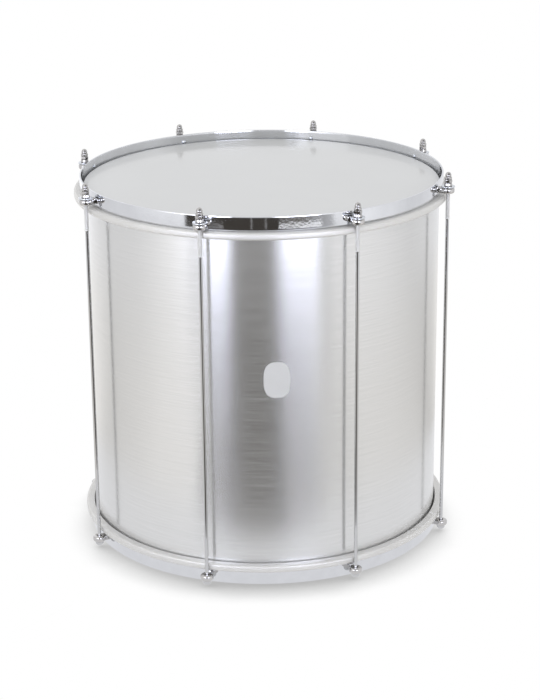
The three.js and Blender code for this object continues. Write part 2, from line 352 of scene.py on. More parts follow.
def ripple(seed: int, height: float, lowest: int, highest: int) -> Any:
    """Makes the slight unevenness of rolled sheet: a sum of waves around the drum.

    Each wave has a whole number of crests around the drum, a random start, and leans with height.
    Its height falls with the number of crests, so that the slopes stay alike.

    Args:
        seed: Seed of the random starts.
        height: The height of the longest wave.
        lowest: Crests of the longest wave.
        highest: Crests of the shortest wave.

    Returns:
        A function of turn and height that gives what is added to the radius.
    """
    random = np.random.default_rng(seed)
    crests = np.arange(lowest, highest + 1)
    starts = random.uniform(0, FULL_TURN, len(crests))
    leans = random.normal(0, RIPPLE_LEAN, len(crests))
    sizes = height * lowest / crests * random.uniform(RIPPLE_LEAST, 1.0, len(crests))

    def wave(turn: np.ndarray, level: np.ndarray) -> np.ndarray:
        """Sums the waves: size * sin(crests * turn + start + lean * level)."""
        phase = (
            crests[:, None, None] * np.asarray(turn)[None]
            + starts[:, None, None]
            + leans[:, None, None] * np.asarray(level)[None]
        )
        return (sizes[:, None, None] * np.sin(phase)).sum(axis=0)

    return wave


@dataclass
class Graph:
    """The node tree of one material or of the world.

    Attributes:
        tree: The node tree that the nodes go into.
    """

    tree: bpy.types.NodeTree

    @classmethod
    def emptied(cls, owner: Any) -> "Graph":
        """Opens the nodes of a material or of the world, and clears them."""
        owner.use_nodes = True
        owner.node_tree.nodes.clear()
        return cls(owner.node_tree)

    def add(self, kind: str, inputs: dict[Any, Any] | None = None, **options: Any) -> Any:
        """Adds a node.

        Args:
            kind: The node's type, without the leading ShaderNode.
            inputs: What goes into its sockets, by name or number: a value, or a socket to link.
            options: The node's own settings.

        Returns:
            The new node.
        """
        node = self.tree.nodes.new("ShaderNode" + kind)
        for name, value in options.items():
            setattr(node, name, value)
        for key, value in (inputs or {}).items():
            if isinstance(value, bpy.types.NodeSocket):
                self.tree.links.new(value, node.inputs[key])
            else:
                node.inputs[key].default_value = value
        return node

    def feed(self, node: bpy.types.Node, sources: dict[Any, bpy.types.NodeSocket]) -> None:
        """Links sockets into a node's inputs, given by name or number."""
        for name, source in sources.items():
            self.tree.links.new(source, node.inputs[name])

    def math(self, operation: str, *values: Any) -> bpy.types.NodeSocket:
        """Adds a Math node on values or sockets, and returns its result."""
        return self.add("Math", dict(enumerate(values)), operation=operation).outputs[0]

    def noise(self, vector: bpy.types.NodeSocket, scale: float, detail: float = 2.0) -> Any:
        """Adds a Noise Texture on a vector, and returns its value from 0 to 1."""
        return self.add("TexNoise", {"Vector": vector, "Scale": scale, "Detail": detail}).outputs[0]

    def spread(self, value: bpy.types.NodeSocket, low: float, high: float) -> Any:
        """Stretches the middle of a noise over a range, and returns it."""
        least, most = NOISE_MIDDLE
        inputs = {"Value": value, "From Min": least, "From Max": most}
        return self.add("MapRange", {**inputs, "To Min": low, "To Max": high}).outputs[0]

    def stretched(self, scale: tuple[float, float, float] = (1.0, 1.0, 1.0)) -> Any:
        """Returns the object's own coordinates, each axis scaled."""
        place = self.add("TexCoord").outputs["Object"]
        return self.add("Mapping", {"Vector": place, "Scale": scale}).outputs[0]

    def shaded(self, colour: Any, shade: bpy.types.NodeSocket) -> bpy.types.NodeSocket:
        """Scales a colour, which is a socket or three values, and returns it."""
        return self.add("VectorMath", {0: colour, "Scale": shade}, operation="SCALE").outputs[0]

    def bump(self, height: bpy.types.NodeSocket, strength: float, depth: float) -> Any:
        """Adds a Bump on a height that stands for a depth in metres, and returns its normal."""
        inputs = {"Height": height, "Strength": strength, "Distance": depth}
        return self.add("Bump", inputs).outputs[0]


@dataclass(frozen=True)
class Finish:
    """A surface finish.

    Attributes:
        name: The material's name.
        colour: The linear base colour.
        roughness: The middle roughness.
        metallic: 1 for bare or plated metal, 0 for film and paint.
    """

    name: str
    colour: Colour
    roughness: float
    metallic: float = 1.0

    def dress(self, graph: Graph, surface: bpy.types.Node) -> None:
        """Adds this finish's detail to its Principled shader. A plain finish adds none."""

    def material(self) -> bpy.types.Material:
        """Gives the finish's material, made the first time it is asked for."""
        found = bpy.data.materials.get(self.name)
        if found:
            return found
        material = bpy.data.materials.new(self.name)
        material.use_nodes = True
        graph = Graph(material.node_tree)
        surface = material.node_tree.nodes["Principled BSDF"]
        surface.inputs["Base Color"].default_value = self.colour
        surface.inputs["Roughness"].default_value = self.roughness
        surface.inputs["Metallic"].default_value = self.metallic
        material.diffuse_color = self.colour
        self.dress(graph, surface)
        return material


@dataclass(frozen=True)
class BrushedAluminium(Finish):
    """Rolled sheet, brushed around the drum, so that it blurs reflections up and down.

    Attributes:
        anisotropy: How much further it blurs up and down than around.
        grain: Fine brush lines in a metre of height.
        run: How quickly a fine line changes along its run, in changes to a metre.
        coarse: How much as quickly the coarse lines change, along their run and up.
        short: How much as quickly the scratches change, along their run and up.
        clouds: How quickly the clouds change along each axis, in changes to a metre.
        scratch: How much of the light a scratch scatters, more than the sheet.
        fine_shade: Shade of the darkest and of the palest fine line.
        coarse_shade: Shade of the darkest and of the palest coarse line.
        cloud_shade: Shade of the darkest and of the palest cloud.
        fine_gloss: Share of the roughness on the smoothest and on the roughest line.
        relief: Strength of the bump.
        depth: Depth of the lines.
    """

    anisotropy: float = 0.85
    grain: float = 480.0
    run: float = 3.0
    coarse: Span = (1 / 4, 1 / 3)
    short: Span = (5.0, 1.4)
    clouds: tuple[float, float, float] = (5.0, 5.0, 3.0)
    scratch: float = 0.08
    fine_shade: Span = (0.994, 1.004)
    coarse_shade: Span = (0.997, 1.002)
    cloud_shade: Span = (0.985, 1.015)
    fine_gloss: Span = (0.96, 1.04)
    relief: float = 0.1
    depth: float = 0.015 * MM

    def lines(self, graph: Graph, along: float, up: float, detail: float = 2.0) -> Any:
        """Adds noise that is drawn out around the drum: it runs slowly around and quickly up.

        Args:
            graph: The material's nodes.
            along: How much as quickly as a fine line it changes along its run.
            up: How much as quickly as a fine line it changes up the drum.
            detail: Octaves of the noise.

        Returns:
            The noise's value.
        """
        around = self.run * along
        return graph.noise(graph.stretched((around, around, self.grain * up)), 1.0, detail)

    def dress(self, graph: Graph, surface: bpy.types.Node) -> None:
        """Adds brush lines to colour, roughness and bump, scratches, and the blur's direction.

        The scratches are shorter than the lines, and scatter light: they show where the sheet
        reflects something dark.

        Args:
            graph: The material's nodes.
            surface: Its Principled shader.
        """
        fine = self.lines(graph, 1.0, 1.0, detail=3.0)
        coarse, scratches = self.lines(graph, *self.coarse), self.lines(graph, *self.short)
        cloud = graph.noise(graph.stretched(self.clouds), 1.0)
        drawn = graph.math(
            "MULTIPLY", graph.spread(fine, *self.fine_shade),
            graph.spread(coarse, *self.coarse_shade),
        )
        shade = graph.math("MULTIPLY", drawn, graph.spread(cloud, *self.cloud_shade))
        scatter = graph.spread(scratches, -self.scratch, self.scratch)
        gloss = graph.spread(fine, *self.fine_gloss)
        tangent = graph.add("Tangent", direction_type="UV_MAP", uv_map="grid")
        graph.feed(surface, {
            "Base Color": graph.shaded(self.colour[:3], shade),
            "Roughness": graph.math("MULTIPLY", gloss, self.roughness),
            "Metallic": graph.math("SUBTRACT", self.metallic, scatter),
            "Normal": graph.bump(fine, self.relief, self.depth),
            "Tangent": tangent.outputs[0],
        })
        surface.inputs["Anisotropic"].default_value = self.anisotropy


@dataclass(frozen=True)
class Chrome(Finish):
    """Bright plating over formed steel, with slight orange peel and handling haze.

    Attributes:
        peel: Lumps of the plating in a metre.
        depth: The height of the lumps.
        painted_groove_shade: How much darker the colour is painted deep in a groove: painted shade.
        groove: How wide such a groove may be.
        groove_open: How open a place is where the painted shade is full, and where it ends.
        haze: Patches of haze in a metre.
        haze_gloss: Share of the roughness on the clearest and on the haziest patch.
        patches: Patches of shade in a metre.
        patch_shade: Shade of the darkest and of the palest patch.
    """

    peel: float = 140.0
    depth: float = 0.02 * MM
    painted_groove_shade: float = 0.0
    groove: float = 2.5 * MM
    groove_open: Span = (0.25, 0.8)
    haze: float = 38.0
    haze_gloss: Span = (0.7, 1.5)
    patches: float = 60.0
    patch_shade: Span = (0.97, 1.02)

    def dress(self, graph: Graph, surface: bpy.types.Node) -> None:
        """Adds low lumps that waver the reflections, haze to the roughness, and painted groove
        shade.

        Args:
            graph: The material's nodes.
            surface: Its Principled shader.
        """
        place = graph.stretched()
        haze = graph.spread(graph.noise(place, self.haze, detail=4.0), *self.haze_gloss)
        lumps = graph.noise(place, self.peel, detail=1.0)
        shade = graph.spread(graph.noise(place, self.patches, detail=3.0), *self.patch_shade)
        # Painted shade: the colour darkens where an occlusion lookup finds the part's own surface
        # close by, as in a groove.
        if self.painted_groove_shade:
            near = graph.add("AmbientOcclusion", {"Distance": self.groove}, only_local=True)
            full, unshaded = self.groove_open
            span = {"Value": near.outputs["AO"], "From Min": full, "From Max": unshaded}
            span["To Min"] = 1 - self.painted_groove_shade
            shade = graph.math("MULTIPLY", shade, graph.add("MapRange", span).outputs[0])
        graph.feed(surface, {
            "Base Color": graph.shaded(self.colour[:3], shade),
            "Roughness": graph.math("MULTIPLY", haze, self.roughness),
            "Normal": graph.bump(lumps, 1.0, self.depth),
        })


@dataclass(frozen=True)
class ThreadedChrome(Chrome):
    """The rods' plating, which is duller where the thread is rolled, and painted paler there.

    Attributes:
        thread_start: The height over the floor where the thread starts.
        dullness: What the thread adds to the roughness.
        scatter: How much of the light the thread scatters.
        painted_thread_sheen: How much paler the thread's colour is painted: a painted sheen.
    """

    thread_start: float = THREAD_START
    dullness: float = 0.35
    scatter: float = 0.6
    painted_thread_sheen: float = 0.28

    def dress(self, graph: Graph, surface: bpy.types.Node) -> None:
        """Adds the plating's lumps and haze, and the dull thread with its painted sheen.

        Args:
            graph: The material's nodes.
            surface: Its Principled shader.
        """
        super().dress(graph, surface)
        plain, bright = (
            surface.inputs[name].links[0].from_socket for name in ("Base Color", "Roughness")
        )
        height = graph.add("SeparateXYZ", {0: graph.stretched()}).outputs["Z"]
        threaded = graph.math("GREATER_THAN", height, self.thread_start)
        # Painted sheen: the thread's colour is made paler to stand in for the light its flanks
        # scatter.
        shade = graph.math("MULTIPLY_ADD", threaded, self.painted_thread_sheen, 1.0)
        graph.feed(surface, {
            "Base Color": graph.shaded(plain, shade),
            "Roughness": graph.math("MULTIPLY_ADD", threaded, self.dullness, bright),
            "Metallic": graph.math("MULTIPLY_ADD", threaded, -self.scatter, self.metallic),
        })


@dataclass(frozen=True)
class SatinMetal(Finish):
    """Drawn or plated metal with a soft sheen and fine marks.

    Attributes:
        marks: Fine marks in a metre.
        mark_gloss: Share of the roughness on the smoothest and on the roughest mark.
        relief: Strength of the bump.
        depth: Depth of the marks.
        clouds: Slow changes of shade in a metre.
        cloud_shade: Shade of the darkest and of the palest cloud.
    """

    marks: float = 700.0
    mark_gloss: Span = (0.85, 1.2)
    relief: float = 0.25
    depth: float = 0.02 * MM
    clouds: float = 25.0
    cloud_shade: Span = (0.97, 1.02)

    def dress(self, graph: Graph, surface: bpy.types.Node) -> None:
        """Adds fine marks to roughness and bump, and slow changes of shade.

        Args:
            graph: The material's nodes.
            surface: Its Principled shader.
        """
        place = graph.stretched()
        marks = graph.noise(place, self.marks, detail=3.0)
        cloud = graph.spread(graph.noise(place, self.clouds), *self.cloud_shade)
        gloss = graph.spread(marks, *self.mark_gloss)
        graph.feed(surface, {
            "Base Color": graph.shaded(self.colour[:3], cloud),
            "Roughness": graph.math("MULTIPLY", gloss, self.roughness),
            "Normal": graph.bump(marks, self.relief, self.depth),
        })


@dataclass(frozen=True)
class MilkyFilm(Finish):
    """Translucent polyester film, cloudy inside and glossy on its face.

    Attributes:
        clouds: Faint clouds in a metre.
        cloud_shade: Shade of the darkest and of the palest cloud.
        waver: Slow waves of the face in a metre.
        waver_gloss: Share of the roughness where the face is smoothest and where it is roughest.
        relief: Strength of the bump.
        depth: Depth of the waves.
        index: The film's index of refraction.
    """

    clouds: float = 7.0
    cloud_shade: Span = (0.985, 1.01)
    waver: float = 30.0
    waver_gloss: Span = (0.95, 1.05)
    relief: float = 0.2
    depth: float = 0.02 * MM
    index: float = 1.42

    def dress(self, graph: Graph, surface: bpy.types.Node) -> None:
        """Adds faint clouds to the colour, and a slight waver to the gloss.

        Args:
            graph: The material's nodes.
            surface: Its Principled shader.
        """
        cloud = graph.noise(graph.stretched((self.clouds,) * 3), 1.0, detail=3.0)
        waver = graph.noise(graph.stretched((self.waver,) * 3), 1.0, detail=1.0)
        gloss = graph.spread(waver, *self.waver_gloss)
        graph.feed(surface, {
            "Base Color": graph.shaded(self.colour[:3], graph.spread(cloud, *self.cloud_shade)),
            "Roughness": graph.math("MULTIPLY", gloss, self.roughness),
            "Normal": graph.bump(waver, self.relief, self.depth),
        })
        surface.inputs["IOR"].default_value = self.index


SHELL_FINISH = BrushedAluminium("brushed_aluminium", linear(222, 222, 221), 0.23, 0.82)
FLESH_HOOP_FINISH = SatinMetal("satin_aluminium", linear(218, 217, 214), 0.48, 0.55)
HOOP_FINISH = Chrome("hoop_chrome_plate", linear(217, 218, 220), 0.05, peel=300.0)
ROD_FINISH = ThreadedChrome("rod_chrome_plate", linear(201, 201, 201), 0.06, depth=0.005 * MM)
# The lugs and nuts get painted shade in their grooves.
LUG_FINISH = Chrome("lug_chrome_plate", linear(199, 197, 195), 0.08, peel=420.0, painted_groove_shade=0.5)
NUT_FINISH = Chrome("nut_chrome_plate", linear(187, 185, 183), 0.09, peel=420.0, painted_groove_shade=0.82)
ZINC_FINISH = SatinMetal("zinc_plate", linear(214, 217, 221), 0.24, marks=900.0)
FILM_FINISH = MilkyFilm("milky_film", linear(205, 206, 206), 0.13, 0.0)
BADGE_FINISH = SatinMetal("blank_badge_foil", linear(212, 213, 216), 0.42, 0.0)


@dataclass
class Piece:
    """One finished piece, ready to go into the scene.

    Attributes:
        name: The object's name.
        skin: Its surface, in place.
        finish: Its finish.
        slot: The record's slot that matches its finish, if it has one. It is not used.
        nodes: The frame's nodes that it stands for.
        body: The body that it rides on.
    """

    name: str
    skin: Skin
    finish: Finish
    slot: Slot | None = None
    nodes: tuple[str, ...] = ()
    body: str = STATIC_BODY

    def build(self) -> bpy.types.Object:
        """Makes the object, dresses it and ties it to its body."""
        mesh = self.skin.mesh(self.name)
        mesh.materials.append(self.finish.material())
        made = shown(self.name, mesh)
        if self.nodes:
            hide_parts(*self.nodes)
        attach(made, self.body)
        stands_for = ", ".join(self.nodes) or "no node"
        LOG.info("%s: %d faces, for %s", self.name, len(mesh.polygons), stands_for)
        return made


@dataclass
class Shell:
    """The shell: rolled aluminium sheet whose edges turn in to carry the heads.

    Attributes:
        edge_radius: Outside radius of the bend at each edge.
        lip_width: How far in the turned edge reaches.
        burr: Rounding of the turned edge's rim.
        longest: Longest stretch of the section between two rows.
    """

    radius: float = SHELL_RADIUS
    bottom: float = 14 * MM
    top: float = 514 * MM
    wall: float = 1.5 * MM
    edge_radius: float = 3 * MM
    lip_width: float = 8 * MM
    burr: float = 0.3 * MM
    longest: float = 18 * MM
    arc_steps: int = 6
    sides: int = 480

    def skin(self) -> Skin:
        """Turns the wall's section, with its slight ripple, and gives the surface."""
        lip, inner = self.radius - self.lip_width, self.radius - self.wall
        corners = [
            (self.radius, self.bottom), (self.radius, self.top), (lip, self.top),
            (lip, self.top - self.wall), (inner, self.top - self.wall),
            (inner, self.bottom + self.wall), (lip, self.bottom + self.wall), (lip, self.bottom),
        ]
        radii = np.repeat(
            [self.edge_radius, self.burr, self.edge_radius - self.wall, self.burr], 2
        )
        section = divided(filleted(corners, radii, self.arc_steps), self.longest)
        wave = ripple(seed=7, height=0.02 * MM, lowest=6, highest=24)
        return turned(section, self.sides, wave=wave)

    def pieces(self) -> list[Piece]:
        """Gives the shell's one piece."""
        return [Piece("drum_shell", self.skin(), SHELL_FINISH, Slot.SHELL, ("shell",))]


@dataclass
class Badge:
    """The bare foil badge on the front of the shell, between the first and the last rod.

    Attributes:
        squareness: The superellipse's power: 2 is an ellipse, and more is squarer.
        lift: Its gap to the shell.
        middle_share: The innermost row's share of the outline.
        face_share: The share of the outline where the face ends and the rounded edge starts.
        face_rows: Rows on the face, and on the back.
        edge_rows: Rows on the rounded edge.
    """

    turn: float = math.radians(-1.0)
    height: float = 299.5 * MM
    width: float = 36.3 * MM
    tall: float = 51 * MM
    squareness: float = 2.7
    lift: float = 0.12 * MM
    thickness: float = 0.3 * MM
    shell_radius: float = SHELL_RADIUS
    middle_share: float = 0.08
    face_share: float = 0.985
    face_rows: int = 12
    edge_rows: int = 7
    columns: int = 128

    def skin(self) -> Skin:
        """Bends a rounded plate onto the shell.

        The outline is a superellipse, |x/a|^n + |z/b|^n = 1. Each row is a scaled copy of it: rows
        grow over the face, swell over the rounded edge and shrink again over the back.

        Returns:
            The plate's surface.
        """
        angle = np.arange(self.columns) * FULL_TURN / self.columns
        cosine, sine = np.cos(angle), np.sin(angle)
        power = self.squareness
        reach = (np.abs(cosine) ** power + np.abs(sine) ** power) ** (-1 / power)
        across, up = cosine * reach * self.width / 2, sine * reach * self.tall / 2
        edge = np.linspace(0, math.pi, self.edge_rows + 2)[1:-1]
        face = np.linspace(self.middle_share, self.face_share, self.face_rows)
        swell = self.face_share + (1 - self.face_share) * np.sin(edge)
        share = np.concatenate([face, swell, face[::-1]])[:, None]
        proud = np.concatenate([np.ones_like(face), (1 + np.cos(edge)) / 2, np.zeros_like(face)])
        radius = self.shell_radius + self.lift + self.thickness * proud[:, None]
        turn = self.turn + share * across / self.shell_radius
        points = np.stack(
            [radius * np.sin(turn), -radius * np.cos(turn), self.height + share * up], axis=-1
        )
        poles = [
            np.array([r * math.sin(self.turn), -r * math.cos(self.turn), self.height])
            for r in (radius[0, 0], radius[-1, 0])
        ]
        return Skin(points, False, *poles)

    def pieces(self) -> list[Piece]:
        """Gives the badge."""
        return [Piece("blank_badge", self.skin(), BADGE_FINISH)]


@dataclass
class DrumEnd:
    """One end of the drum: film head, flesh hoop and counter hoop.

    Heights below are counted from the rim, which is the free edge of the counter hoop.

    Attributes:
        end: Which end it is.
        rim: The height of the rim in the frame.
        film_radii: The rounding of each corner of the film's outline, from its middle and back.
    """

    end: End
    rim: float
    hoop_outer: float = HOOP_OUTER
    hoop_thickness: float = 2.5 * MM
    hoop_height: float = 20 * MM
    hoop_round: float = 0.45 * MM
    hoop_longest: float = 4 * MM
    seat_gap: float = SEAT_GAP
    bead_inner: float = 255.2 * MM
    bead_outer: float = 268 * MM
    bead_height: float = 10 * MM
    bead_round: float = 3.2 * MM
    bead_undercut: float = 1.5 * MM
    bead_burr: float = 0.2 * MM
    bead_arc_steps: int = 8
    groove_lip: float = 0.8 * MM
    groove_round: float = 0.1 * MM
    grip_depth: float = 4.5 * MM
    film_drop: float = 13.2 * MM
    film_thickness: float = 0.5 * MM
    film_longest: float = 12 * MM
    film_radii: tuple[float, ...] = (
        0, 1.6 * MM, 1 * MM, 0.5 * MM, 0.1 * MM, 0.1 * MM, 0.5 * MM, 0.6 * MM, 0.8 * MM, 0,
    )
    film_sides: int = 256
    shell_radius: float = SHELL_RADIUS
    fold: float = 3 * MM
    arc_steps: int = 5
    sides: int = 480

    def counter_hoop(self) -> Skin:
        """Turns the flat bar's section, which is rounded along its edges."""
        inner = self.hoop_outer - self.hoop_thickness
        corners = [
            (self.hoop_outer, -self.hoop_height), (self.hoop_outer, 0), (inner, 0),
            (inner, -self.hoop_height),
        ]
        section = divided(filleted(corners, self.hoop_round, self.arc_steps), self.hoop_longest)
        wave = ripple(seed=11, height=0.06 * MM, lowest=5, highest=24)
        return turned(section, self.sides, wave=wave)

    def flesh_hoop(self) -> Skin:
        """Turns the bead's section: rounded outside, with the film's groove by the counter hoop."""
        top = -self.hoop_height - self.seat_gap
        bottom = top - self.bead_height
        groove_in = self.bead_inner + self.groove_lip
        groove_out = groove_in + self.film_thickness + 2 * self.seat_gap
        floor = top - self.grip_depth - self.seat_gap
        corners = [
            (self.bead_inner + self.bead_undercut, bottom), (self.bead_outer, bottom),
            (self.bead_outer, top), (groove_out, top), (groove_out, floor), (groove_in, floor),
            (groove_in, top), (self.bead_inner, top), (self.bead_inner, floor),
        ]
        burr, fine = self.bead_burr, self.groove_round
        radii = np.repeat([burr, self.bead_round, burr, fine, burr], [1, 2, 1, 2, 3])
        return turned(filleted(corners, radii, self.bead_arc_steps), self.sides)

    def film(self) -> Skin:
        """Turns the head: flat inside, folded over the shell's edge, and sloping into the bead."""
        face, back = -self.film_drop, -self.film_drop - self.film_thickness
        fold_radius = self.shell_radius + self.seat_gap
        flat = fold_radius - self.fold / 2
        grip_in = self.bead_inner + self.groove_lip + self.seat_gap
        grip_out = grip_in + self.film_thickness
        grip_top = -self.hoop_height - self.seat_gap
        grip_end = grip_top - self.grip_depth
        corners = [
            (0, face), (flat + self.film_thickness / 2, face),
            (fold_radius + self.film_thickness, back - self.fold / 2 + self.film_thickness / 2),
            (grip_out, grip_top), (grip_out, grip_end), (grip_in, grip_end), (grip_in, grip_top),
            (fold_radius, back - self.fold / 2), (flat, back), (0, back),
        ]
        outline = filleted(corners, self.film_radii, self.arc_steps, False)
        return turned(divided(outline, self.film_longest, False), self.film_sides, False)

    def pieces(self) -> list[Piece]:
        """Gives the end's three pieces, turned over at the bottom."""
        flip, name = self.end is End.BOTTOM, self.end.value
        rows = [
            ("head", self.film, FILM_FINISH, Slot.FILM, "head_film"),
            ("head_bead", self.flesh_hoop, FLESH_HOOP_FINISH, Slot.FLESH_HOOP, "flesh_hoop"),
            ("hoop", self.counter_hoop, HOOP_FINISH, Slot.HOOP, "counter_hoop"),
        ]
        return [
            Piece(
                f"{name}_{word}", make().placed(flip=flip, lift=self.rim), finish, slot,
                (f"{name}_{node}",),
            )
            for word, make, finish, slot, node in rows
        ]


@dataclass
class Lug:
    """A lug: an eye for the rod on a neck that is riveted to the counter hoop.

    Heights are counted from the rim of the lug's own hoop, and the rod stands at the front.

    Attributes:
        standoff: From the hoop's outside to the middle of the rod.
        edge: Rounding of the edge.
        burr: Rounding of the bore, and of the edge where it meets the hoop.
        blend: How softly the neck runs into the eye.
        hoop_blend: Gap to the hoop where the edge starts to sharpen, and where it is sharp.
        toward_hoop: Cosines of the widest angles about the rod at which the outline stops at the
            hoop, and at which the height shrinks to the neck's.
        flat_shares: Where the flat's first and last row stand between the bore and the edge.
    """

    hoop_outer: float = HOOP_OUTER
    hoop_inner: float = 257.1 * MM
    standoff: float = 12.4 * MM
    eye_radius: float = 9.2 * MM
    bore_radius: float = BORE_RADIUS
    neck_half: float = 5 * MM
    height: float = 8.4 * MM
    neck_height: float = 7.4 * MM
    edge: float = 3 * MM
    burr: float = 0.35 * MM
    blend: float = 1.1 * MM
    hoop_blend: Span = (0.6 * MM, 0.1 * MM)
    toward_hoop: Span = (0.5, 0.3)
    flat_shares: Span = (0.12, 0.88)
    seat_gap: float = SEAT_GAP
    rim_drop: float = 7.9 * MM
    rivet_drop: float = 11 * MM
    rivet_shank: float = 2.1 * MM
    rivet_head: float = 3.2 * MM
    rivet_burr: float = 0.1 * MM
    rivet_crown: float = 1.8 * MM
    rivet_grip: float = 4.6 * MM
    rivet_sides: int = 36
    dome_rows: int = 9
    arc_rows: int = 7
    flat_rows: int = 6
    columns: int = 112

    def eye_and_neck(self) -> Skin:
        """Works out the lug on angles about the rod and rows along its wall.

        The outline at angle a from the drum's centre line is the larger of the eye's radius and the
        neck's reach, which is neck half / |sin a| but no further than the hoop. The rows run up the
        bore, out over the top, round the edge and back under. Past the eye the height shrinks to
        the neck's own.

        Returns:
            The lug's surface.
        """
        angle = np.arange(self.columns) * FULL_TURN / self.columns
        rod = self.hoop_outer + self.standoff
        sine, cosine = np.sin(angle), np.cos(angle)
        seat = self.hoop_outer + self.seat_gap
        to_hoop = rod * cosine - np.sqrt(np.maximum(seat**2 - (rod * sine) ** 2, 0))
        side = self.neck_half / np.maximum(np.abs(sine), TINY)
        neck = np.where(cosine > 0, np.minimum(side, to_hoop), 0)
        reach = self.blend * np.logaddexp(self.eye_radius / self.blend, neck / self.blend)
        stops, shrinks = (cosine > least for least in self.toward_hoop)
        reach = np.where(stops, np.minimum(reach, to_hoop), reach)
        at_hoop = smooth_step(*self.hoop_blend, to_hoop - reach) * stops
        edge = self.edge + (self.burr - self.edge) * at_hoop

        half, low = self.height / 2, self.neck_height / 2
        every = np.ones(self.columns)
        corner = np.linspace(0, math.pi / 2, self.arc_rows)[:, None]
        flat = np.linspace(*self.flat_shares, self.flat_rows)[:, None]
        start = self.bore_radius + self.burr
        back = corner[::-1]
        radius = np.vstack([
            (start - self.burr * np.sin(back)) * every,
            start + flat * (reach - edge - start),
            reach - edge + edge * np.sin(corner),
        ])
        height = np.vstack([
            (half - self.burr * (1 - np.cos(back))) * every,
            half * np.ones_like(flat) * every,
            half - edge * (1 - np.cos(corner)),
        ])
        shrink = smooth_step(self.eye_radius - self.edge, self.standoff, radius) * shrinks
        height = height * (1 - shrink * (1 - low / half))
        radius = np.vstack([radius, radius[::-1]])
        height = np.vstack([height, -height[::-1]])
        middle = -(self.rim_drop + half)
        points = np.stack([radius * sine, -rod + radius * cosine, height + middle], axis=-1)
        return Skin(points)

    def rivet(self) -> Skin:
        """Turns the rivet, whose low domed head lies inside the hoop, and lays it on its side."""
        face = self.hoop_inner - self.seat_gap / 2
        tail = self.hoop_outer + self.rivet_grip
        dome = np.linspace(0, math.pi / 2, self.dome_rows)
        head = np.stack(
            [self.rivet_head * np.sin(dome), face - self.rivet_crown * np.cos(dome)], axis=1
        )
        shank = [
            (self.rivet_head - self.rivet_burr, face), (self.rivet_shank, face),
            (self.rivet_shank, tail), (0, tail),
        ]
        upright = turned(np.vstack([head, shank]), self.rivet_sides, False)

        def laid(points: np.ndarray) -> np.ndarray:
            """Lays the axis from +Z down onto -Y, and drops it to the rivet's height."""
            x, y, z = points[..., 0], points[..., 1], points[..., 2]
            return np.stack([x, -z, y - self.rivet_drop], axis=-1)

        return Skin(laid(upright.points), False, laid(upright.first_pole), laid(upright.last_pole))


@dataclass
class Rod:
    """A tension rod, with a rolled thread at its top and a domed head under the bottom lug.

    Attributes:
        shank: Radius of the plain rod.
        thread: Radius over the thread.
        depth: Depth of the thread.
        fade_in: Height over which the thread comes in.
        fade_out: Height over which it ends below the tip.
        neck: Height of the first row of the shank over the head.
        runout: Height of the step from the shank to the thread.
    """

    shank: float = 2.5 * MM
    thread: float = 3 * MM
    pitch: float = 1 * MM
    depth: float = 0.55 * MM
    fade_in: float = 2 * MM
    fade_out: float = 1 * MM
    head_radius: float = 6 * MM
    head_bottom: float = 1 * MM
    head_top: float = 7.6 * MM
    head_rim: float = 2.2 * MM
    head_chamfer: float = 0.4 * MM
    neck: float = 0.2 * MM
    runout: float = 1 * MM
    top_thread_start: float = THREAD_START
    tip: float = 537 * MM
    tip_chamfer: float = 0.8 * MM
    dome_rows: int = 9
    shank_rows: int = 24
    rows_per_pitch: int = 6
    sides: int = 24

    def skin(self) -> Skin:
        """Turns the rod and cuts its thread.

        The radius is the plain outline's, less the thread's depth times a triangle wave of
        height / pitch - turn, which is one right handed start. The wave fades at the thread's ends.

        Returns:
            The rod's surface, on the Z axis.
        """
        dome_top = self.head_top - self.head_rim
        dome_height = dome_top - self.head_bottom
        dome = np.linspace(0, math.pi / 2, self.dome_rows)
        head = np.stack(
            [self.head_radius * np.sin(dome), dome_top - dome_height * np.cos(dome)], axis=1
        )
        rest = np.array([
            (self.head_radius, self.head_top - self.head_chamfer),
            (self.head_radius - self.head_chamfer, self.head_top), (self.shank, self.head_top),
        ])
        low, high = self.head_top + self.neck, self.top_thread_start - self.runout
        even = np.linspace(low, high - self.runout / 4, self.shank_rows)
        step = self.pitch / self.rows_per_pitch
        top = np.arange(self.top_thread_start, self.tip - self.tip_chamfer, step)
        heights = np.concatenate([even, [high], top])
        radii = np.repeat([self.shank, self.thread], [len(even) + 1, len(top)])
        end = [(self.thread - self.tip_chamfer, self.tip), (0, self.tip)]
        section = np.vstack([head, rest, np.stack([radii, heights], axis=1), end])

        def cut(turn: np.ndarray, height: np.ndarray) -> np.ndarray:
            """Gives the thread's cut at a turn and height."""
            phase = height / self.pitch - turn / FULL_TURN
            groove = np.abs(2 * (phase - np.floor(phase + 0.5)))
            start = self.top_thread_start
            rise = smooth_step(start, start + self.fade_in, height)
            fall = smooth_step(self.tip, self.tip - self.fade_out, height)
            return -self.depth * groove * rise * fall

        return turned(section, self.sides, False, cut)


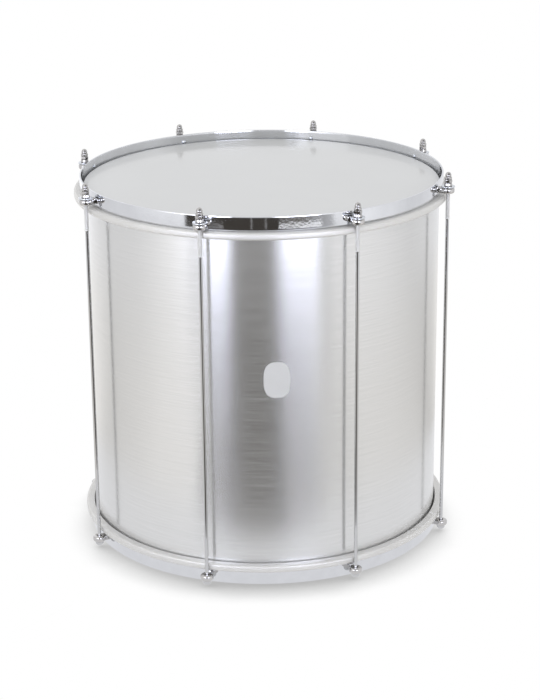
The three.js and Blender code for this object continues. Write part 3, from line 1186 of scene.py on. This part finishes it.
@dataclass
class Nut:
    """A tuning nut: skirt, hexagon, collar and dome, parted by grooves, over a blind bore.

    Attributes:
        slope: How far the hexagon's corners are turned off at both its ends.
        soft: What the turned outline stands past the hexagon's corners, and the dome's step.
        collar_slope: Height of the collar's sloping top.
        crown_shares: Width and drop of the dome's shoulder, as shares of the dome's radius.
        radii: The rounding of each corner of the outline, from the end of the bore to the top.
        skirt_margin: How far inside the skirt the outside's rows start.
        flat_margin: How far past the hexagon's ends its flats are cut.
    """

    bore: float = BORE_RADIUS
    depth: float = 15.7 * MM
    skirt: float = 5.7 * MM
    skirt_top: float = 5.3 * MM
    skirt_height: float = 3.9 * MM
    flats: float = 10 * MM
    hexagon_height: float = 4 * MM
    collar: float = 5.2 * MM
    collar_height: float = 3.2 * MM
    collar_slope: float = 0.5 * MM
    groove: float = 0.8 * MM
    groove_wall: float = 0.9 * MM
    neck_wall: float = 0.5 * MM
    dome: float = 4.3 * MM
    crown_shares: Span = (0.72, 0.3)
    top: float = 19.7 * MM
    slope: float = 0.75 * MM
    soft: float = 0.25 * MM
    radii: tuple[float, ...] = tuple(radius * MM for radius in (
        0, 0.2, 0.2, 0.35, 0.35, 0.15, 0.15, 0.15, 0.3, 0.3, 0.15, 0.15, 0.15, 0.3, 0.35, 0.1, 0.1,
        0.3, 2.2, 2.0, 0,
    ))
    skirt_margin: float = 0.4 * MM
    flat_margin: float = 0.05 * MM
    longest: float = 0.8 * MM
    arc_steps: int = 4
    sides: int = 96

    def skin(self) -> Skin:
        """Turns the nut's outline and cuts its six flats.

        Across the hexagon the radius is the smaller of the turned outline's, which rounds the
        corners off at both ends, and half the width across flats / cos(turn from the middle of a
        flat).

        Returns:
            The nut's surface, standing on the XY plane.
        """
        corner = self.flats / math.sqrt(3)
        hex_low = self.skirt_height + self.groove
        hex_high = hex_low + self.hexagon_height
        collar_low = hex_high + self.groove
        collar_high = collar_low + self.collar_height
        dome_low = collar_high + self.groove
        slope, soft = self.slope, self.soft
        neck, thin = self.bore + self.groove_wall, self.bore + self.neck_wall
        third, quarter = self.groove / 3, self.groove / 4
        crown_width, crown_drop = (share * self.dome for share in self.crown_shares)
        outline = [
            (0, self.depth), (self.bore, self.depth), (self.bore, 0), (self.skirt, 0),
            (self.skirt_top, self.skirt_height), (neck, self.skirt_height + third),
            (neck, hex_low - third), (corner - slope, hex_low),
            (corner + soft, hex_low + slope), (corner + soft, hex_high - slope),
            (corner - slope, hex_high), (neck, hex_high + third), (neck, collar_low - third),
            (self.collar, collar_low), (self.collar, collar_high - self.collar_slope),
            (thin, collar_high + quarter), (thin, dome_low - quarter),
            (self.dome, dome_low + soft), (self.dome, self.top - self.dome),
            (crown_width, self.top - crown_drop), (0, self.top),
        ]
        rounded = filleted(outline, self.radii, self.arc_steps, False)
        section = divided(rounded, self.longest, False)

        rim = section[1:-1, :1]
        first_outside = int(np.argmax(rim[:, 0] >= self.skirt - self.skirt_margin))
        outside = np.arange(len(rim))[:, None] >= first_outside

        def cut(turn: np.ndarray, height: np.ndarray) -> np.ndarray:
            """Cuts the flats on the outside rows only, and leaves the bore round."""
            sixth = FULL_TURN / 6
            flat = self.flats / 2 / np.cos(np.mod(turn, sixth) - sixth / 2)
            low, high = hex_low - self.flat_margin, hex_high + self.flat_margin
            across = outside & (height > low) & (height < high)
            return np.where(across, np.minimum(flat - rim, 0), 0)

        return turned(section, self.sides, False, cut)


@dataclass
class Washer:
    """A plain washer, lying on the XY plane."""

    outer: float = 9.6 * MM
    inner: float = BORE_RADIUS
    thickness: float = 1.6 * MM
    edge: float = 0.45 * MM
    burr: float = 0.2 * MM
    arc_steps: int = 5
    sides: int = 72

    def skin(self) -> Skin:
        """Turns the washer's rounded section."""
        corners = [
            (self.outer, 0), (self.outer, self.thickness), (self.inner, self.thickness),
            (self.inner, 0),
        ]
        radii = [self.burr, self.edge, self.edge, self.burr]
        return turned(filleted(corners, radii, self.arc_steps), self.sides)


@dataclass
class Tensioning:
    """The eight stations around the drum, each a rod with its lugs, rivets, washer and nut."""

    rim: float
    lug: Lug = field(default_factory=Lug)
    rod: Rod = field(default_factory=Rod)
    nut: Nut = field(default_factory=Nut)
    washer: Washer = field(default_factory=Washer)

    def pieces(self) -> list[Piece]:
        """Gives the pieces of all stations, numbered as the frame's nodes are."""
        eye, rivet = self.lug.eye_and_neck(), self.lug.rivet()
        rod, nut, washer = self.rod.skin(), self.nut.skin(), self.washer.skin()
        circle = self.lug.hoop_outer + self.lug.standoff
        washer_drop = self.lug.rim_drop - self.lug.seat_gap - self.washer.thickness
        nut_drop = washer_drop - self.lug.seat_gap

        def on_circle(skin: Skin, lift: float) -> Skin:
            """Stands a surface on the rod circle, at the front, at a height."""
            shift = np.array([0, -circle, lift])
            poles = [None if p is None else p + shift for p in (skin.first_pole, skin.last_pole)]
            return Skin(skin.points + shift, skin.ring, *poles)

        rod, nut = on_circle(rod, 0), on_circle(nut, self.rim - nut_drop)
        washer = on_circle(washer, self.rim - washer_drop - self.washer.thickness)
        top, bottom = {"lift": self.rim}, {"flip": True}
        rows = [
            ("rod", rod, {}, ROD_FINISH, Slot.ROD, "tension_rod"),
            ("washer", washer, {}, ZINC_FINISH, Slot.WASHER, "nut_washer"),
            ("nut", nut, {}, NUT_FINISH, Slot.NUT, "tuning_nut"),
            ("upper_lug", eye, top, LUG_FINISH, Slot.LUG, "top_lug"),
            ("upper_rivet", rivet, top, ZINC_FINISH, Slot.RIVET, "top_lug_rivet"),
            ("lower_lug", eye, bottom, LUG_FINISH, Slot.LUG, "bottom_lug"),
            ("lower_rivet", rivet, bottom, ZINC_FINISH, Slot.RIVET, None),
        ]
        return [
            Piece(
                f"{word}_{station + 1}",
                skin.placed(FIRST_STATION_TURN + station * FULL_TURN / STATION_COUNT, **place),
                finish, slot, (f"{node}_{station + 1}",) if node else (),
                f"nut_{station + 1}" if word == "nut" else STATIC_BODY,
            )
            for station in range(STATION_COUNT)
            for word, skin, place, finish, slot, node in rows
        ]


@dataclass
class Level:
    """One level of a studio card, with its brightness around the drum.

    Attributes:
        distance: Its distance from the drum's axis.
        height: Its height over the floor.
        stops: Its brightness, where 1 is white, at turns in degrees from the camera's direction.
        straight: How far before the axis it runs as a straight line across the camera's view, up to
            its distance. At 0 it is round.
    """

    distance: float
    height: float
    stops: tuple[tuple[float, float], ...]
    straight: float = 0.0

    def radius(self, turn: np.ndarray) -> np.ndarray:
        """Gives its radius at turns from the camera: straight / cos(turn), or its distance."""
        if not self.straight:
            return np.full_like(turn, self.distance)
        return np.minimum(self.straight / np.maximum(np.cos(turn), TINY), self.distance)


@dataclass
class Surround:
    """A studio card that runs right around the drum, and shows in its metal and gloss only.

    Attributes:
        name: The card's name.
        levels: Its levels. Between two of them the brightness changes evenly.
        tint: Its linear colour where it is pale.
        dark_tint: Its linear colour where it is dark.
        lamp_tint: Its linear colour where a lamp shines through.
        pale_gain: How quickly the dark tint gives way to the pale one with brightness.
        lamp_gain: Slope and start of the line that gives the lamps' tint its share from the
            brightness.
        columns: Its columns around the drum.
    """

    name: str
    levels: tuple[Level, ...]
    tint: Colour = COOL_WHITE
    dark_tint: Colour = (1.14, 1.0, 0.86, 1.0)
    lamp_tint: Colour = (0.92, 0.955, 1.15, 1.0)
    pale_gain: float = 3.0
    lamp_gain: Span = (0.3, -0.45)
    columns: int = 1440

    def build(self, camera_turn: float) -> None:
        """Makes the card, and hides it from the camera and from matt surfaces.

        Args:
            camera_turn: Where the camera stands around the drum.
        """
        degrees = np.linspace(-180, 180, self.columns + 1)
        turn = np.radians(degrees)
        across, ahead = np.sin(turn + camera_turn), -np.cos(turn + camera_turn)
        points = []
        for level in self.levels:
            radius = level.radius(turn)
            height = np.full_like(turn, level.height)
            points.append(np.stack([radius * across, radius * ahead, height], axis=1))
        row = self.columns + 1
        low = np.arange(len(points) - 1)[:, None] * row + np.arange(self.columns)
        faces = np.stack([low, low + 1, low + row + 1, low + row], axis=-1).reshape(-1, 4)
        mesh = bpy.data.meshes.new(self.name)
        mesh.from_pydata(np.concatenate(points).tolist(), [], faces.tolist())
        glow = np.concatenate([np.interp(degrees, *np.array(v.stops).T) for v in self.levels])
        values = mesh.attributes.new("glow", "FLOAT", "POINT").data
        values.foreach_set("value", glow.astype(np.float32))
        material = bpy.data.materials.new(self.name)
        graph = Graph.emptied(material)
        strength = graph.add("Attribute", attribute_name="glow").outputs["Fac"]
        share = graph.math("MULTIPLY", strength, self.pale_gain)
        pale = graph.add("MixRGB", {"Fac": share, 1: self.dark_tint, 2: self.tint})
        lamp = graph.math("MULTIPLY_ADD", strength, *self.lamp_gain)
        colour = graph.add("MixRGB", {"Fac": lamp, 1: pale.outputs[0], 2: self.lamp_tint})
        light = graph.add("Emission", {"Color": colour.outputs[0], "Strength": strength})
        graph.feed(graph.add("OutputMaterial"), {0: light.outputs[0]})
        mesh.materials.append(material)
        made = shown(self.name, mesh)
        made.visible_camera = made.visible_diffuse = made.visible_shadow = False


@dataclass
class Studio:
    """The white studio: floor, world, cards and camera.

    Attributes:
        camera_turn: Where the camera stands around the drum.
        camera_distance: Its distance from the drum's axis.
        camera_height: Its height over the floor.
        pitch: How far it looks down.
        yaw: How far it looks to the right of the drum's axis.
        roll: How far it leans.
        focal_pixels: Its focal length in pixels of the picture.
        picture_height: The picture's longer side, in pixels.
        sensor: The width of its sensor, in millimetres.
        world_strength: The brightness of the world, where 1 is white.
        floor_half: Half the floor's width.
        floor_gloss: How bright metal sees the floor, where 1 is white.
        floor_colour: The floor's colour where matt surfaces see it.
        shade_reach: How far from the drum its foot's shade reaches.
        shade_lean: How far the shade falls towards the camera.
        shade_open: How open the floor is where the shade ends.
        shade_dark: How bright the shade is at its darkest, where 1 is white.
        ring_radius: Distance of the studio's walls from the drum's axis.
        table_front: Distance of the table's edge from the drum's axis, where it is round, and
            where it runs straight across the camera's view.
        table_height: The height of the table card over the floor.
    """

    camera_turn: float = math.radians(-5.0779)
    camera_distance: float = 2.69454
    camera_height: float = 1.18744
    pitch: float = math.radians(19.0926)
    yaw: float = math.radians(0.2106)
    roll: float = math.radians(-0.5325)
    focal_pixels: float = 1932.15
    picture_height: float = 700.0
    sensor: float = 36.0
    world_strength: float = 1.0
    floor_half: float = 30.0
    floor_gloss: float = 0.92
    floor_colour: Colour = (0.85, 0.85, 0.85, 1.0)
    shade_reach: float = 0.07
    shade_lean: float = math.radians(68)
    shade_open: float = 0.85
    shade_dark: float = 0.16
    ring_radius: float = 1.5
    table_front: Span = (0.5, 0.41)
    table_height: float = 0.003

    def camera(self) -> None:
        """Places the camera as the photograph's was, with no shift and no depth of field."""
        ahead = Vector((
            math.sin(self.yaw) * math.cos(self.pitch), math.cos(self.yaw) * math.cos(self.pitch),
            -math.sin(self.pitch),
        ))
        right = ahead.cross(Vector((0, 0, 1))).normalized()
        up = right.cross(ahead)
        leaning_right = right * math.cos(self.roll) + up * math.sin(self.roll)
        leaning_up = up * math.cos(self.roll) - right * math.sin(self.roll)
        place = Matrix((leaning_right, leaning_up, -ahead)).transposed().to_4x4()
        place.translation = Vector((0, -self.camera_distance, self.camera_height))
        data = bpy.data.cameras.new("photo_camera")
        data.sensor_width = self.sensor
        data.lens = self.focal_pixels * self.sensor / self.picture_height
        camera = shown("photo_camera", data)
        camera.matrix_world = Matrix.Rotation(self.camera_turn, 4, "Z") @ place
        bpy.context.scene.camera = camera

    def world(self) -> None:
        """Lights the drum evenly from all round, and shows white behind it."""
        world = bpy.data.worlds.new("white_studio")
        bpy.context.scene.world = world
        graph = Graph.emptied(world)
        path = graph.add("LightPath")
        light = graph.add("Background", {"Color": WHITE, "Strength": self.world_strength})
        seen = graph.add("Background", {"Color": WHITE, "Strength": 1.0})
        mix = graph.add(
            "MixShader", {0: path.outputs["Is Camera Ray"], 1: light.outputs[0], 2: seen.outputs[0]}
        )
        graph.feed(graph.add("OutputWorld"), {0: mix.outputs[0]})

    def floor(self) -> None:
        """Lays the white floor.

        The camera sees it white, less a painted shadow around the drum's foot, from an occlusion
        lookup that leans towards the camera. Metal sees it a little darker.
        """
        half = self.floor_half
        mesh = bpy.data.meshes.new("studio_floor")
        corners = [(-half, -half, 0), (half, -half, 0), (half, half, 0), (-half, half, 0)]
        mesh.from_pydata(corners, [], [(0, 1, 2, 3)])
        material = bpy.data.materials.new("studio_floor_white")
        graph = Graph.emptied(material)
        path = graph.add("LightPath")
        matte = graph.add("BsdfDiffuse", {"Color": self.floor_colour})
        aside = math.sin(self.shade_lean)
        lean = (
            -aside * math.sin(self.camera_turn), aside * math.cos(self.camera_turn),
            math.cos(self.shade_lean),
        )
        open_side = graph.add("CombineXYZ", dict(enumerate(lean))).outputs[0]
        # Painted shadow: the floor's white is dimmed by ambient occlusion about a normal leaning
        # towards the camera.
        shade = graph.add(
            "AmbientOcclusion", {"Distance": self.shade_reach, "Normal": open_side}
        ).outputs["AO"]
        span = {"Value": shade, "From Max": self.shade_open, "To Min": self.shade_dark}
        soft = graph.add("MapRange", span).outputs[0]
        white = graph.add("Emission", {"Color": WHITE, "Strength": soft})
        mirrored = graph.add("Emission", {"Color": COOL_WHITE, "Strength": self.floor_gloss})
        lit = graph.add(
            "MixShader",
            {0: path.outputs["Is Glossy Ray"], 1: matte.outputs[0], 2: mirrored.outputs[0]},
        )
        mix = graph.add(
            "MixShader", {0: path.outputs["Is Camera Ray"], 1: lit.outputs[0], 2: white.outputs[0]}
        )
        graph.feed(graph.add("OutputMaterial"), {0: mix.outputs[0]})
        mesh.materials.append(material)
        shown("studio_floor", mesh)

    def surrounds(self) -> None:
        """Stands the cards around the drum: the studio's walls with its lights, and the table.

        The walls' levels, from the floor up, are what the camera sees mirrored in the shell, the
        hoops and the rods. Each list of stops runs once around the drum.
        """
        left_back = (
            (-180, 0.95), (-170, 0.95), (-152, 1.25), (-124, 1.0), (-106, 0.86), (-80, 0.92),
            (-64, 1.07),
        )
        right_back = ((60, 1.13), (80, 1.0), (100, 0.86), (127, 0.94), (150, 0.92), (180, 0.95))
        streaks = (
            (-6.6, 0.06), (-6.3, 0.32), (-5.8, 0.32), (-5.5, 0.06), (1.6, 0.06), (1.9, 0.32),
            (2.4, 0.32), (2.7, 0.06),
        )
        foot = (
            *left_back, (-48, 1.0), (-40, 0.6), (-33, 0.2), (-28, 0.07), (9, 0.05), (14, 0.12),
            (26, 0.25), (38, 0.7), (44, 1.05), *right_back,
        )
        sill = (
            *left_back[:-1], (-64, 0.94), (-45, 0.98), (-42.8, 0.06), (-31, 0.06), (-30, 0.3),
            (-22, 0.3), (-21, 0.06), *streaks, (9, 0.05), (10, 1.35), (33, 1.35), (35, 0.5),
            (40, 0.55), (43, 0.95), *right_back,
        )
        dark = (
            *left_back, (-45, 1.1), (-42.8, 0.06), *streaks, (9, 0.05), (10, 0.1), (20, 0.15),
            (33, 0.4), (39, 0.6), (42, 1.05), *right_back,
        )
        over = (
            *left_back, (-42, 2.4), (-33, 2.2), (-31, 6.0), (-21, 6.0), (-16, 0.4), (5, 0.4),
            (13.5, 1.7), (31, 1.5), (34, 0.9), *right_back,
        )
        lights = (
            *left_back, (-58, 1.4), (-51, 2.0), (-44, 3.0), (-34, 3.1), (-31, 8.8), (-21, 8.8),
            (-16, 0.85), (5, 0.85), (13.5, 8.5), (29, 8.5), (31, 7.0), (33.5, 1.7), (48, 1.5),
            *right_back,
        )
        upper = (
            *left_back[:-1], (-66, 1.0), (-64, 1.4), (-28, 1.4), (-24, 0.38), (60, 0.38),
            *right_back[1:],
        )
        rows = (
            (0.0, foot), (0.155, foot), (0.157, sill), (0.171, sill), (0.176, dark), (0.25, dark),
            (0.285, over), (0.36, lights), (0.75, lights), (0.85, upper), (2.4, upper),
        )
        ring = self.ring_radius
        walls = Surround("studio_walls", tuple(Level(ring, up, stops) for up, stops in rows))
        table = (
            (-180, 1.0), (-136, 1.0), (-127, 0.97), (-120, 0.94), (-113, 0.86), (-104, 0.77),
            (-100, 0.75), (-80, 0.82), (-60, 0.94), (-38, 0.95), (-33, 0.48), (-28, 0.35),
            (-22, 0.22), (-17, 0.1), (9, 0.08), (12, 0.2), (24, 0.35), (34, 0.65), (56, 0.87),
            (80, 0.84), (100, 0.76), (112, 0.68), (120, 0.66), (126, 0.73), (134, 0.77),
            (145, 0.88), (160, 0.95), (180, 1.0),
        )
        front, straight = self.table_front
        levels = (
            Level(front, self.table_height, table, straight), Level(ring, self.table_height, table),
        )
        for surround in (walls, Surround("table_edge", levels, WARM_WHITE)):
            surround.build(self.camera_turn)

    def build(self) -> None:
        """Sets the picture's plain view and builds the studio."""
        bpy.context.scene.view_settings.view_transform = "Standard"
        self.camera()
        self.world()
        self.floor()
        self.surrounds()


def main() -> None:
    """Loads the frame, builds the drum and the studio, and reports each piece."""
    logging.basicConfig(level=logging.INFO, format="%(name)s %(message)s")
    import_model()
    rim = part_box("top_counter_hoop")[1].z
    parts = [Shell(), Badge(), DrumEnd(End.TOP, rim), DrumEnd(End.BOTTOM, 0.0), Tensioning(rim)]
    for part in parts:
        for piece in part.pieces():
            piece.build()
    Studio().build()


if __name__ == "__main__":
    main()
